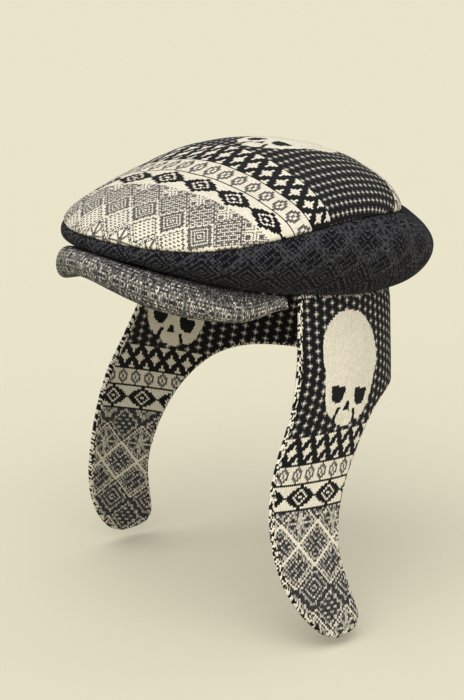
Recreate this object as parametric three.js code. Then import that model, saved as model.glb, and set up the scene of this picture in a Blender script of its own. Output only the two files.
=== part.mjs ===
// A knitted flat cap with a soft crown, a padded peak and two long ear flaps that meet behind the neck.
// Millimetres, +Z up. The peak points to -Y and the wearer's left is +X.
// The origin is the middle of the head opening. The cap is shown as worn, its rim dipping to the back.

import * as THREE from "three";

// Driving dimensions
const HEAD_HALF_WIDTH = 82;
const HEAD_HALF_LENGTH = 100;
const RIM_DIP_DEG = 10;
const CROWN_HEIGHT = 85;
const RIM_RISE_AT_FRONT = 8;
const RIM_RISE_SPREAD_DEG = 70;
const CROWN_FLAT_SHARE = 0.5;
const CROWN_SLOPE = 0.27;
const PANEL_WALL = 3;
const FLAP_WALL = 4.5;
const SEAM_GAP = 0.3;
const RIM_OVERHANG = 1.5;

// Mesh steps
const CROWN_STEPS_HALF_ROUND = 32;
const CROWN_STEPS_OUT = 11;
const SIDE_STEPS_DOWN = 12;
const PEAK_STEPS_ACROSS = 36;
const FLAP_STEPS_DOWN = 32;
const FLAP_STEPS_ACROSS = 16;
const RIM_LENGTH_STEPS = 400;
const SLOPE_SHARE_STEP = 0.01;
const SLOPE_LENGTH_STEP = 0.5;
const SLIVER_LENGTH = 0.001;

// Sections of the crown, by plan angle: 0 is the front, 90 the left side and 180 the back.
// The seam joins the top panel to the side panel. The pull draws the top panel out above the seam.
// The bulge pulls the side panel out between the seam and the rim, over a height of twice its reach.
const CROWN_SECTIONS = [
  { angle: 0, seamOut: 125, seamUp: 22, pullOut: 126, pullUp: 38, bulgeOut: 128, bulgeUp: 15, reach: 4 },
  { angle: 27, seamOut: 121, seamUp: 23, pullOut: 122, pullUp: 38, bulgeOut: 124, bulgeUp: 14, reach: 4 },
  { angle: 45, seamOut: 115, seamUp: 27, pullOut: 116, pullUp: 41, bulgeOut: 119, bulgeUp: 16, reach: 5 },
  { angle: 66, seamOut: 107, seamUp: 38, pullOut: 108, pullUp: 52, bulgeOut: 115, bulgeUp: 21, reach: 6 },
  { angle: 90, seamOut: 104, seamUp: 51, pullOut: 106, pullUp: 68, bulgeOut: 115, bulgeUp: 27, reach: 9 },
  { angle: 112, seamOut: 104, seamUp: 56, pullOut: 105, pullUp: 75, bulgeOut: 123, bulgeUp: 30, reach: 11 },
  { angle: 140, seamOut: 98, seamUp: 54, pullOut: 91, pullUp: 75, bulgeOut: 132, bulgeUp: 31, reach: 11 },
  { angle: 180, seamOut: 92, seamUp: 58, pullOut: 82, pullUp: 76, bulgeOut: 132, bulgeUp: 33, reach: 12 },
];

// Gathers where the side panel is eased into the rim, by plan angle.
const SIDE_GATHERS = [
  { angle: 72, spread: 7, depth: 1.6 },
  { angle: 96, spread: 8, depth: 2.2 },
  { angle: 121, spread: 9, depth: 2.6 },
  { angle: 150, spread: 10, depth: 2.4 },
];

// The peak by plan angle: its outer edge and how thick its padding is there.
const PEAK_SECTIONS = [
  { angle: 0, edgeOut: 129, edgeUp: 13, padding: 18 },
  { angle: 15, edgeOut: 127, edgeUp: 11, padding: 21 },
  { angle: 27, edgeOut: 122, edgeUp: 7, padding: 23.5 },
  { angle: 40, edgeOut: 115, edgeUp: 0.5, padding: 21 },
  { angle: 55, edgeOut: 104, edgeUp: -6.5, padding: 14 },
  { angle: 74, edgeOut: 90, edgeUp: -4, padding: 6 },
];

// Steps across the peak, as shares of its depth, closer together at its rounded edge.
const PEAK_DEPTH_SHARES = [0, 0.22, 0.42, 0.58, 0.72, 0.84, 0.93, 0.98, 1];
const PEAK_ROUND_FROM = 0.72;
const PEAK_PADDING_SHARE_AT_RIM = 0.6;

// The cut of one ear flap with its half of the neck guard. Along is the length on the rim from the
// temple to the back, and drop is the distance below the rim. Each row crosses from front to rear edge.
const FLAP_CUT = [
  { frontAlong: -15, frontDrop: 0, rearAlong: 143, rearDrop: 0 },
  { frontAlong: -16, frontDrop: 24, rearAlong: 143, rearDrop: 25 },
  { frontAlong: -17, frontDrop: 43, rearAlong: 143, rearDrop: 46 },
  { frontAlong: -19, frontDrop: 58, rearAlong: 143, rearDrop: 61 },
  { frontAlong: -21, frontDrop: 70, rearAlong: 100, rearDrop: 62 },
  { frontAlong: -24, frontDrop: 82, rearAlong: 67, rearDrop: 65 },
  { frontAlong: -27, frontDrop: 95, rearAlong: 47, rearDrop: 73 },
  { frontAlong: -29, frontDrop: 109, rearAlong: 33, rearDrop: 87 },
  { frontAlong: -30, frontDrop: 124, rearAlong: 22, rearDrop: 107 },
  { frontAlong: -29, frontDrop: 142, rearAlong: 15, rearDrop: 132 },
  { frontAlong: -26, frontDrop: 161, rearAlong: 14, rearDrop: 157 },
  { frontAlong: -20, frontDrop: 180, rearAlong: 19, rearDrop: 180 },
  { frontAlong: -12, frontDrop: 195, rearAlong: 23, rearDrop: 195 },
  { frontAlong: -4, frontDrop: 205, rearAlong: 22, rearDrop: 204 },
  { frontAlong: 2, frontDrop: 210, rearAlong: 17, rearDrop: 209 },
  { frontAlong: 9, frontDrop: 212, rearAlong: 9, rearDrop: 212 },
];

// How far the flap stands out from the rim by drop, at its front edge, its rear edge and the back.
const FLAP_SPLAY = [
  { drop: 0, atFront: 0, atRear: 0, atBack: 0 },
  { drop: 40, atFront: 12, atRear: 8, atBack: 3 },
  { drop: 82, atFront: 23, atRear: 15, atBack: 5 },
  { drop: 132, atFront: 27, atRear: 22, atBack: 6 },
  { drop: 177, atFront: 35, atRear: 33, atBack: 6 },
  { drop: 212, atFront: 44, atRear: 45, atBack: 6 },
];
const SPLAY_FRONT_ALONG = -20;
const SPLAY_REAR_ALONG = 60;
const SPLAY_BACK_ALONG = 143;

// Yarn colours
const CREAM_KNIT = new THREE.MeshStandardMaterial({ color: 0xb9b3a2, roughness: 0.95, metalness: 0 });
const CHARCOAL_KNIT = new THREE.MeshStandardMaterial({ color: 0x2b2c33, roughness: 0.95, metalness: 0 });
const GREY_KNIT = new THREE.MeshStandardMaterial({ color: 0x8b8679, roughness: 0.95, metalness: 0 });
const BLACK_KNIT = new THREE.MeshStandardMaterial({ color: 0x4a4844, roughness: 0.95, metalness: 0 });

// Smooth value of one column of a table at a place along its key column.
// Tables that go on as their own mirror image have level ends.
function tableValue(table, key, column, place, hasLevelEnds) {
  const last = table.length - 1;
  let row = 0;
  while (row < last - 1 && place > table[row + 1][key]) {
    row += 1;
  }
  const slopeAt = (index) => {
    if (hasLevelEnds && (index === 0 || index === last)) {
      return 0;
    }
    const before = table[Math.max(index - 1, 0)];
    const after = table[Math.min(index + 1, last)];
    return (after[column] - before[column]) / (after[key] - before[key]);
  };
  const span = table[row + 1][key] - table[row][key];
  const share = THREE.MathUtils.clamp((place - table[row][key]) / span, 0, 1);
  const squared = share * share;
  const cubed = squared * share;
  return (
    table[row][column] * (2 * cubed - 3 * squared + 1) +
    table[row + 1][column] * (3 * squared - 2 * cubed) +
    span * slopeAt(row) * (cubed - 2 * squared + share) +
    span * slopeAt(row + 1) * (cubed - squared)
  );
}

// Point of a cubic curve in the plane of one section
function cubicPoint(start, startPull, endPull, end, share) {
  const rest = 1 - share;
  return new THREE.Vector2()
    .addScaledVector(start, rest * rest * rest)
    .addScaledVector(startPull, 3 * rest * rest * share)
    .addScaledVector(endPull, 3 * rest * share * share)
    .addScaledVector(end, share * share * share);
}

// Point of a section, radius out and height up, turned to its plan angle
function turnedOut(section, angleDeg) {
  const angle = THREE.MathUtils.degToRad(angleDeg);
  return new THREE.Vector3(section.x * Math.sin(angle), -section.x * Math.cos(angle), section.y);
}

// Radius of the head opening at a plan angle
function rimRadius(angleDeg) {
  const angle = THREE.MathUtils.degToRad(angleDeg);
  const across = HEAD_HALF_LENGTH * Math.sin(angle);
  const along = HEAD_HALF_WIDTH * Math.cos(angle);
  return (HEAD_HALF_WIDTH * HEAD_HALF_LENGTH) / Math.hypot(across, along);
}

// Height of the rim at a plan angle: it arches up over the forehead
function rimHeight(angleDeg) {
  const share = Math.min(Math.abs(angleDeg) / RIM_RISE_SPREAD_DEG, 1);
  return RIM_RISE_AT_FRONT * Math.cos((Math.PI / 2) * share) ** 2;
}

// Depth of the gathers at a plan angle
function gatherDepth(angleDeg) {
  let depth = 0;
  for (const gather of SIDE_GATHERS) {
    depth += gather.depth * Math.exp(-(((angleDeg - gather.angle) / gather.spread) ** 2));
  }
  return depth;
}

// Named points of the crown's section at a plan angle
function crownSection(angleDeg) {
  const at = (column) => tableValue(CROWN_SECTIONS, "angle", column, Math.abs(angleDeg), true);
  const seam = new THREE.Vector2(at("seamOut"), at("seamUp"));
  const forward = CROWN_FLAT_SHARE * seam.x * Math.cos(THREE.MathUtils.degToRad(angleDeg));
  return {
    top: new THREE.Vector2(0, CROWN_HEIGHT),
    topPull: new THREE.Vector2(CROWN_FLAT_SHARE * seam.x, CROWN_HEIGHT - CROWN_SLOPE * forward),
    pull: new THREE.Vector2(at("pullOut"), at("pullUp")),
    seam,
    bulge: new THREE.Vector2(at("bulgeOut"), at("bulgeUp")),
    reach: at("reach"),
    rim: new THREE.Vector2(rimRadius(angleDeg) + RIM_OVERHANG, rimHeight(angleDeg)),
  };
}

// Unit direction from one section point to another
function heading(from, to) {
  return to.clone().sub(from).normalize();
}

// Outward direction of a wall that runs downwards along a heading
function outwardOf(direction) {
  return new THREE.Vector2(-direction.y, direction.x);
}

// Where the two panels' walls turn inwards at their common seam
function seamInward(section) {
  const above = outwardOf(heading(section.pull, section.seam));
  const below = outwardOf(heading(section.seam, section.bulge));
  return above.add(below).normalize().negate();
}

// Outer and inner point of the top panel at a share of the way from its middle to the seam
function topPanelWall(angleDeg, share) {
  const section = crownSection(angleDeg);
  const { top, topPull, pull, seam } = section;
  const back = heading(seam, pull).multiplyScalar(SEAM_GAP / 2);
  const outer = cubicPoint(top, topPull, pull, seam, share);
  const step = SLOPE_SHARE_STEP;
  const before = cubicPoint(top, topPull, pull, seam, Math.max(share - step, 0));
  const after = cubicPoint(top, topPull, pull, seam, Math.min(share + step, 1));
  let inward = outwardOf(heading(before, after)).negate();
  if (share === 0) {
    inward = new THREE.Vector2(0, -1);
  }
  if (share === 1) {
    inward = seamInward(section);
    outer.add(back);
  }
  return [outer, outer.clone().addScaledVector(inward, PANEL_WALL)];
}

// Outer and inner point of a side panel at a share of the way from the seam to the rim
function sidePanelWall(angleDeg, share) {
  const section = crownSection(angleDeg);
  const { seam, bulge, reach, rim } = section;
  const gather = gatherDepth(Math.abs(angleDeg)) * Math.sin(Math.PI * share);
  const upperPull = new THREE.Vector2(bulge.x - gather, bulge.y + reach);
  const lowerPull = new THREE.Vector2(bulge.x - gather, bulge.y - reach);
  const outer = cubicPoint(seam, upperPull, lowerPull, rim, share);
  const step = SLOPE_SHARE_STEP;
  const before = cubicPoint(seam, upperPull, lowerPull, rim, Math.max(share - step, 0));
  const after = cubicPoint(seam, upperPull, lowerPull, rim, Math.min(share + step, 1));
  let inward = outwardOf(heading(before, after)).negate();
  if (share === 0) {
    inward = seamInward(section);
    outer.addScaledVector(heading(seam, bulge), SEAM_GAP / 2);
  }
  return [outer, outer.clone().addScaledVector(inward, PANEL_WALL)];
}

// Closed mesh between an outer and an inner grid of points. Rows run down and columns run round to the left
function wallGeometry(outer, inner, isRound) {
  const positions = [];
  const triangle = (a, b, c) => {
    const shortest = Math.min(a.distanceTo(b), b.distanceTo(c), c.distanceTo(a));
    const isSliver = shortest < SLIVER_LENGTH;
    if (!isSliver) {
      positions.push(...a.toArray(), ...b.toArray(), ...c.toArray());
    }
  };
  const quad = (a, b, c, d) => {
    triangle(a, b, c);
    triangle(a, c, d);
  };
  const rows = outer.length;
  const columns = outer[0].length;
  for (let row = 0; row + 1 < rows; row += 1) {
    for (let column = 0; column + 1 < columns; column += 1) {
      const next = column + 1;
      quad(outer[row][column], outer[row + 1][column], outer[row + 1][next], outer[row][next]);
      quad(inner[row][column], inner[row][next], inner[row + 1][next], inner[row + 1][column]);
    }
    if (!isRound) {
      const end = columns - 1;
      quad(outer[row][0], inner[row][0], inner[row + 1][0], outer[row + 1][0]);
      quad(outer[row][end], outer[row + 1][end], inner[row + 1][end], inner[row][end]);
    }
  }
  for (let column = 0; column + 1 < columns; column += 1) {
    const next = column + 1;
    const end = rows - 1;
    quad(outer[0][column], outer[0][next], inner[0][next], inner[0][column]);
    quad(outer[end][column], inner[end][column], inner[end][next], outer[end][next]);
  }
  const geometry = new THREE.BufferGeometry();
  geometry.setAttribute("position", new THREE.Float32BufferAttribute(positions, 3));
  return geometry;
}

// The top panel, one dome all the way round
function crownTopGeometry() {
  const outer = [];
  const inner = [];
  const columns = 2 * CROWN_STEPS_HALF_ROUND;
  for (let row = 0; row <= CROWN_STEPS_OUT; row += 1) {
    const share = row / CROWN_STEPS_OUT;
    outer.push([]);
    inner.push([]);
    for (let column = 0; column <= columns; column += 1) {
      const angle = 180 * ((column % columns) / CROWN_STEPS_HALF_ROUND);
      const fromFront = angle > 180 ? 360 - angle : angle;
      const [outside, inside] = topPanelWall(fromFront, share);
      outer[row].push(turnedOut(outside, angle));
      inner[row].push(turnedOut(inside, angle));
    }
  }
  return wallGeometry(outer, inner, true);
}

// A point kept clear of the cap's middle plane, where left and right pieces meet
function offMiddle(point) {
  point.x = Math.max(point.x, SEAM_GAP / 2);
  return point;
}

// The left side panel, from the middle of the front to the middle of the back
function sidePanelGeometry() {
  const outer = [];
  const inner = [];
  for (let row = 0; row <= SIDE_STEPS_DOWN; row += 1) {
    outer.push([]);
    inner.push([]);
    for (let column = 0; column <= CROWN_STEPS_HALF_ROUND; column += 1) {
      const angle = 180 * (column / CROWN_STEPS_HALF_ROUND);
      const [outside, inside] = sidePanelWall(angle, row / SIDE_STEPS_DOWN);
      outer[row].push(offMiddle(turnedOut(outside, angle)));
      inner[row].push(offMiddle(turnedOut(inside, angle)));
    }
  }
  return wallGeometry(outer, inner, false);
}

// Upper and lower point of the peak at a share of its depth from the rim to its edge
function peakWall(angleDeg, share) {
  const at = (column) => tableValue(PEAK_SECTIONS, "angle", column, Math.abs(angleDeg), true);
  const base = rimRadius(angleDeg) - RIM_OVERHANG;
  const padding = at("padding") * THREE.MathUtils.lerp(PEAK_PADDING_SHARE_AT_RIM, 1, share);
  const radius = THREE.MathUtils.lerp(base, at("edgeOut"), share);
  const roundShare = Math.max(share - PEAK_ROUND_FROM, 0) / (1 - PEAK_ROUND_FROM);
  const thickness = padding * Math.sqrt(1 - roundShare * roundShare);
  const baseHeight = rimHeight(angleDeg) - SEAM_GAP;
  const middle = THREE.MathUtils.lerp(baseHeight, at("edgeUp"), share * share) - padding / 2;
  return [
    new THREE.Vector2(radius, middle + thickness / 2),
    new THREE.Vector2(radius, middle - thickness / 2),
  ];
}

// The padded peak across the front
function peakGeometry() {
  const widest = PEAK_SECTIONS.at(-1).angle;
  const upper = [];
  const lower = [];
  for (const share of PEAK_DEPTH_SHARES) {
    upper.push([]);
    lower.push([]);
    for (let step = 0; step <= PEAK_STEPS_ACROSS; step += 1) {
      const angle = THREE.MathUtils.lerp(-widest, widest, step / PEAK_STEPS_ACROSS);
      const [above, below] = peakWall(angle, share);
      upper.at(-1).push(turnedOut(above, angle));
      lower.at(-1).push(turnedOut(below, angle));
    }
  }
  return wallGeometry(upper, lower, false);
}

// Place on the rim and its outward direction, by length along the rim from the widest point to the back
function rimPlace(along) {
  const halfWidth = HEAD_HALF_WIDTH + RIM_OVERHANG / 2;
  const halfLength = HEAD_HALF_LENGTH + RIM_OVERHANG / 2;
  let turn = 0;
  for (let step = 0; step < RIM_LENGTH_STEPS; step += 1) {
    const speed = Math.hypot(halfWidth * Math.sin(turn), halfLength * Math.cos(turn));
    turn += along / RIM_LENGTH_STEPS / speed;
  }
  const point = new THREE.Vector3(halfWidth * Math.cos(turn), halfLength * Math.sin(turn), 0);
  const outward = new THREE.Vector3(Math.cos(turn) / halfWidth, Math.sin(turn) / halfLength, 0);
  return { point, outward: outward.normalize() };
}

// How far the flap stands out from the rim
function flapSplay(along, drop) {
  const at = (column) => tableValue(FLAP_SPLAY, "drop", column, drop, false);
  const ring = [
    { along: SPLAY_FRONT_ALONG, out: at("atFront") },
    { along: SPLAY_REAR_ALONG, out: at("atRear") },
    { along: SPLAY_BACK_ALONG, out: at("atBack") },
  ];
  return tableValue(ring, "along", "out", along, false);
}

// Middle of the flap's wall
function flapPoint(along, drop) {
  const { point, outward } = rimPlace(along);
  point.addScaledVector(outward, flapSplay(along, drop));
  point.z = -SEAM_GAP - drop;
  return point;
}

// Outward direction of the flap's wall
function flapOutward(along, drop) {
  const step = SLOPE_LENGTH_STEP;
  if (drop === 0) {
    return rimPlace(along).outward;
  }
  const back = flapPoint(along + step, drop).sub(flapPoint(along - step, drop));
  const down = flapPoint(along, drop + step).sub(flapPoint(along, drop - step));
  return down.cross(back).normalize();
}

// The left ear flap with its half of the neck guard
function earFlapGeometry() {
  const cut = FLAP_CUT.map((row, index) => ({ ...row, index }));
  const outer = [];
  const inner = [];
  for (let row = 0; row <= FLAP_STEPS_DOWN; row += 1) {
    const index = ((cut.length - 1) * row) / FLAP_STEPS_DOWN;
    const at = (column) => tableValue(cut, "index", column, index, false);
    outer.push([]);
    inner.push([]);
    for (let column = 0; column <= FLAP_STEPS_ACROSS; column += 1) {
      const share = column / FLAP_STEPS_ACROSS;
      const along = THREE.MathUtils.lerp(at("frontAlong"), at("rearAlong"), share);
      const drop = Math.max(THREE.MathUtils.lerp(at("frontDrop"), at("rearDrop"), share), 0);
      const middle = flapPoint(along, drop);
      const outward = flapOutward(along, drop);
      outer[row].push(offMiddle(middle.clone().addScaledVector(outward, FLAP_WALL / 2)));
      inner[row].push(offMiddle(middle.clone().addScaledVector(outward, -FLAP_WALL / 2)));
    }
  }
  return wallGeometry(outer, inner, false);
}

// The same piece for the wearer's right
function mirrored(geometry) {
  const positions = geometry.getAttribute("position").clone();
  for (let corner = 0; corner < positions.count; corner += 3) {
    const first = new THREE.Vector3().fromBufferAttribute(positions, corner);
    const second = new THREE.Vector3().fromBufferAttribute(positions, corner + 1);
    const third = new THREE.Vector3().fromBufferAttribute(positions, corner + 2);
    [first, third, second].forEach((point, index) => {
      positions.setXYZ(corner + index, -point.x, point.y, point.z);
    });
  }
  return new THREE.BufferGeometry().setAttribute("position", positions);
}

// One named piece
function piece(name, geometry, material) {
  const mesh = new THREE.Mesh(geometry, material);
  mesh.name = name;
  return mesh;
}

// The whole cap, level in its own group, then dipped to the back
function knitCap() {
  const cap = new THREE.Group();
  const sidePanel = sidePanelGeometry();
  const earFlap = earFlapGeometry();
  cap.add(
    piece("crown_top", crownTopGeometry(), CREAM_KNIT),
    piece("side_panel_left", sidePanel, CHARCOAL_KNIT),
    piece("side_panel_right", mirrored(sidePanel), CHARCOAL_KNIT),
    piece("peak", peakGeometry(), GREY_KNIT),
    piece("ear_flap_left", earFlap, BLACK_KNIT),
    piece("ear_flap_right", mirrored(earFlap), BLACK_KNIT),
  );
  cap.rotation.x = -THREE.MathUtils.degToRad(RIM_DIP_DEG);
  return new THREE.Group().add(cap);
}

export default knitCap();
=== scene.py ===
# A knitted flat cap with ear flaps, each panel knitted by the stitch and draped on the frame's shape
from dataclasses import dataclass
from typing import Callable

import bpy
import numpy as np
from mathutils import Matrix, Vector


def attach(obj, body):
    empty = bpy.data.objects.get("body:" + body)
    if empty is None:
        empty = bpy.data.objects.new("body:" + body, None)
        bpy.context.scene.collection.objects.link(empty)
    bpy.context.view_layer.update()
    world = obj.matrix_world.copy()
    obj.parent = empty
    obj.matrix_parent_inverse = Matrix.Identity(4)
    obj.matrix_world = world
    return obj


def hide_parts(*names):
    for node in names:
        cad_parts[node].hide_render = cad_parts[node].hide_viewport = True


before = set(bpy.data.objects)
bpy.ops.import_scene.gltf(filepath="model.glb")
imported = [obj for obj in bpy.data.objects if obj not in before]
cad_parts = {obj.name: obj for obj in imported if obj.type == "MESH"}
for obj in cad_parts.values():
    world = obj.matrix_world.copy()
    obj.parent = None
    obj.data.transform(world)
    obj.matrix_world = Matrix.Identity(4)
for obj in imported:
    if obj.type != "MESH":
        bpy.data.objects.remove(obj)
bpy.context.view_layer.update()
bpy.ops.object.select_all(action="DESELECT")

# Driving dimensions, as in the frame: millimetres and degrees, with the rim level
METRES = 0.001
HEAD_HALF_WIDTH = 82
HEAD_HALF_LENGTH = 100
RIM_DIP_DEG = 10
CROWN_HEIGHT = 85
RIM_RISE_AT_FRONT = 8
RIM_RISE_SPREAD_DEG = 70
CROWN_FLAT_SHARE = 0.5
CROWN_SLOPE = 0.27
PANEL_WALL = 3
FLAP_WALL = 4.5
SEAM_GAP = 0.3
RIM_OVERHANG = 1.5

# Sections of the crown by plan angle: 0 is the front, 90 the left side and 180 the back
CROWN_SECTIONS = {
    "angle": (0, 27, 45, 66, 90, 112, 140, 180),
    "seam_out": (125, 121, 115, 107, 104, 104, 98, 92),
    "seam_up": (22, 23, 27, 38, 51, 56, 54, 58),
    "pull_out": (126, 122, 116, 108, 106, 105, 91, 82),
    "pull_up": (38, 38, 41, 52, 68, 75, 75, 76),
    "bulge_out": (128, 124, 119, 115, 115, 123, 132, 132),
    "bulge_up": (15, 14, 16, 21, 27, 30, 31, 33),
    "reach": (4, 4, 5, 6, 9, 11, 11, 12),
}

# Gathers where the side panel is eased into the rim
SIDE_GATHERS = {
    "angle": (72, 96, 121, 150),
    "spread": (7, 8, 9, 10),
    "depth": (1.6, 2.2, 2.6, 2.4),
}

# The peak by plan angle
PEAK_SECTIONS = {
    "angle": (0, 15, 27, 40, 55, 74),
    "edge_out": (129, 127, 122, 115, 104, 90),
    "edge_up": (13, 11, 7, 0.5, -6.5, -4),
    "padding": (18, 21, 23.5, 21, 14, 6),
}
PEAK_ROUND_FROM = 0.72
PEAK_PADDING_SHARE_AT_RIM = 0.6
PEAK_END_DEG = PEAK_SECTIONS["angle"][-1]

# How much fuller the knit lies on the peak than the frame's solid
PEAK_FULLNESS = 1.6

# The cut of one ear flap, row by row: its rear edge starts at the middle of the back
FLAP_BACK_ALONG = 144.4
FLAP_CUT = {
    "front_along": (-15, -16, -17, -19, -21, -24, -27, -29, -30, -29, -26, -20, -12, -4, 2, 9),
    "front_drop": (0, 24, 43, 58, 70, 82, 95, 109, 124, 142, 161, 180, 195, 205, 210, 212),
    "rear_along": (FLAP_BACK_ALONG,) * 3 + (144, 100, 67, 47, 33, 22, 15, 14, 19, 23, 22, 17, 9),
    "rear_drop": (0, 25, 46, 61, 62, 65, 73, 87, 107, 132, 157, 180, 195, 204, 209, 212),
}

# How far the flap stands out from the rim by drop, at three places along the rim
FLAP_SPLAY = {
    "drop": (0, 40, 82, 132, 177, 212),
    "at_front": (0, 12, 23, 27, 35, 44),
    "at_rear": (0, 8, 15, 22, 33, 45),
    "at_back": (0, 3, 5, 6, 6, 6),
}
SPLAY_ANCHORS = {"at_front": -20, "at_rear": 60, "at_back": 143}
FLAP_TUCK = 1.5

# Yarns, as linear colours: all but the first two are flecked
YARNS = {
    "cream": (0.90, 0.835, 0.68),
    "black": (0.005, 0.005, 0.007),
    "grey": (0.14, 0.135, 0.125),
    "slate": (0.040, 0.040, 0.046),
    "charcoal": (0.052, 0.053, 0.060),
    "flecked": (0.50, 0.47, 0.39),
    "ash": (0.23, 0.22, 0.19),
}
CREAM, BLACK, GREY, SLATE, CHARCOAL, FLECKED, ASH = range(len(YARNS))
PLAIN_SPREAD = 0.06
TONE_RANGE = (0.3, 1.8)
COLOUR_RANGE = (0.004, 0.95)
EDGE_CREAM_SHARE = 0.5
# The inner layer of every panel is painted darker: painted shade inside the cap and on the far flap's
# inner face
INNER_PAINTED_SHADE = 0.72

# Small crosses in staggered columns
CROSS_COLUMNS = 5
CROSS_ROWS = 4
CROSS_MIDDLE_ROW = 1

# One small diamond, and the upper right quarter of a big one: a hash for each dark stitch
SMALL_DIAMOND = (
    "...#...",
    "..###..",
    ".##.##.",
    ".#.#.#.",
    ".#.#.#.",
    ".##.##.",
    "..###..",
    "...#...",
)
BIG_DIAMOND = (
    "#.......",
    "###.....",
    ".####...",
    "#.####..",
    "##.####.",
    ".##.####",
)
SMALL_ROWS = len(SMALL_DIAMOND)
BIG_ROWS = 2 * len(BIG_DIAMOND) - 1
BIG_COLUMNS = 2 * len(BIG_DIAMOND[0])

# Rows of the band repeat, counted down from the top of the lattice
LATTICE_ROWS = 12
LATTICE_COLUMNS = 8
LATTICE_BAR = 0.42
FIRST_LINE = LATTICE_ROWS
SECOND_LINE = FIRST_LINE + 1 + SMALL_ROWS
THIRD_LINE = SECOND_LINE + 1 + BIG_ROWS
LINE_SHARE = 0.55

# Plain knit relief: each stitch is two slanted legs, and each leg has four corners
STITCH_SLANT = 0.5
WALE_RELIEF = 0.11
LEG_RING = ((0, 0), (0, 1), (1, 1), (1, 0))

# Step to measure a slope by, and the least length to divide by
SLOPE_STEP = 0.05
TINY = 1e-9

# Lumps of a worn knit: each wave's lengths across, along and up, and its start
LUMP_WAVES = {
    "broad_across": ((17, np.inf, np.inf), 0.8),
    "broad_along": ((np.inf, 21, np.inf), 1.9),
    "slanted": ((np.inf, 13, -19), 0.4),
    "fine_level": ((7.5, 9.5, np.inf), 2.2),
    "fine_upright": ((np.inf, -11, 8.3), 0.7),
}
BROAD_LUMP = 0.6
SLANTED_LUMP = 0.7
FINE_LUMP = 0.4
LUMP_EDGE_EASE = 9

# Bake layout of a panel, as shares of the square: one layer's size and margin, and the step to the other
BAKE_SIZE = (0.47, 0.96)
BAKE_MARGIN = (0.015, 0.02)
BAKE_INNER_SHIFT = (0.5, 0)


# Smooth value of one column of a table, with the same slopes as the frame
def smooth(keys, values, place, level_ends=False):
    keys = np.asarray(keys, float)
    values = [np.asarray(value, float) for value in values]
    last = len(keys) - 1
    result = np.zeros(np.broadcast(place, values[0]).shape)
    interval = np.clip(np.searchsorted(keys, place, side="left") - 1, 0, last - 1)

    def slope(index):
        if level_ends and index in (0, last):
            return 0.0
        before = max(index - 1, 0)
        after = min(index + 1, last)
        return (values[after] - values[before]) / (keys[after] - keys[before])

    for row in range(last):
        span = keys[row + 1] - keys[row]
        share = np.clip((place - keys[row]) / span, 0, 1)
        value = values[row] * (2 * share**3 - 3 * share**2 + 1)
        value = value + values[row + 1] * (3 * share**2 - 2 * share**3)
        value = value + span * slope(row) * (share**3 - 2 * share**2 + share)
        value = value + span * slope(row + 1) * (share**3 - share**2)
        result = np.where(interval == row, value, result)
    return result


# One column of a table that goes on as its own mirror image
def mirrored_column(table, column, angle):
    return smooth(table["angle"], table[column], np.abs(angle), level_ends=True)


# Point of a cubic curve in the plane of a section
def cubic(start, start_pull, end_pull, end, share):
    rest = 1 - share
    weights = (rest**3, 3 * rest**2 * share, 3 * rest * share**2, share**3)
    corners = (start, start_pull, end_pull, end)
    out = sum(weight * corner[0] for weight, corner in zip(weights, corners))
    up = sum(weight * corner[1] for weight, corner in zip(weights, corners))
    return out, up


# Section point turned to its plan angle
def turned_out(out, up, angle):
    turn = np.radians(angle)
    return np.stack([out * np.sin(turn), -out * np.cos(turn), up + 0 * turn], axis=-1)


def rim_radius(angle):
    turn = np.radians(angle)
    across = HEAD_HALF_LENGTH * np.sin(turn)
    along = HEAD_HALF_WIDTH * np.cos(turn)
    return HEAD_HALF_WIDTH * HEAD_HALF_LENGTH / np.hypot(across, along)


def rim_height(angle):
    share = np.minimum(np.abs(angle) / RIM_RISE_SPREAD_DEG, 1)
    return RIM_RISE_AT_FRONT * np.cos(np.pi / 2 * share) ** 2


def gather_depth(angle):
    depth = np.zeros(np.shape(angle))
    for place, spread, deep in zip(*SIDE_GATHERS.values()):
        depth = depth + deep * np.exp(-(((np.abs(angle) - place) / spread) ** 2))
    return depth


# A named place of the crown's section, as radius out and height up
def crown_place(name, angle):
    out = mirrored_column(CROWN_SECTIONS, name + "_out", angle)
    return out, mirrored_column(CROWN_SECTIONS, name + "_up", angle)


# The top panel's section from the middle of the crown to the seam
def top_section(angle, share):
    seam = crown_place("seam", angle)
    first_out = CROWN_FLAT_SHARE * seam[0]
    first_up = CROWN_HEIGHT - CROWN_SLOPE * first_out * np.cos(np.radians(angle))
    return cubic((0, CROWN_HEIGHT), (first_out, first_up), crown_place("pull", angle), seam, share)


# The side panel's section from the rim up to the seam
def side_section(angle, share):
    down = 1 - share
    bulge_out, bulge_up = crown_place("bulge", angle)
    reach = mirrored_column(CROWN_SECTIONS, "reach", angle)
    drawn_in = bulge_out - gather_depth(angle) * np.sin(np.pi * np.clip(down, 0, 1))
    rim = (rim_radius(angle) + RIM_OVERHANG, rim_height(angle))
    upper = (drawn_in, bulge_up + reach)
    lower = (drawn_in, bulge_up - reach)
    return cubic(crown_place("seam", angle), upper, lower, rim, down)


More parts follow.
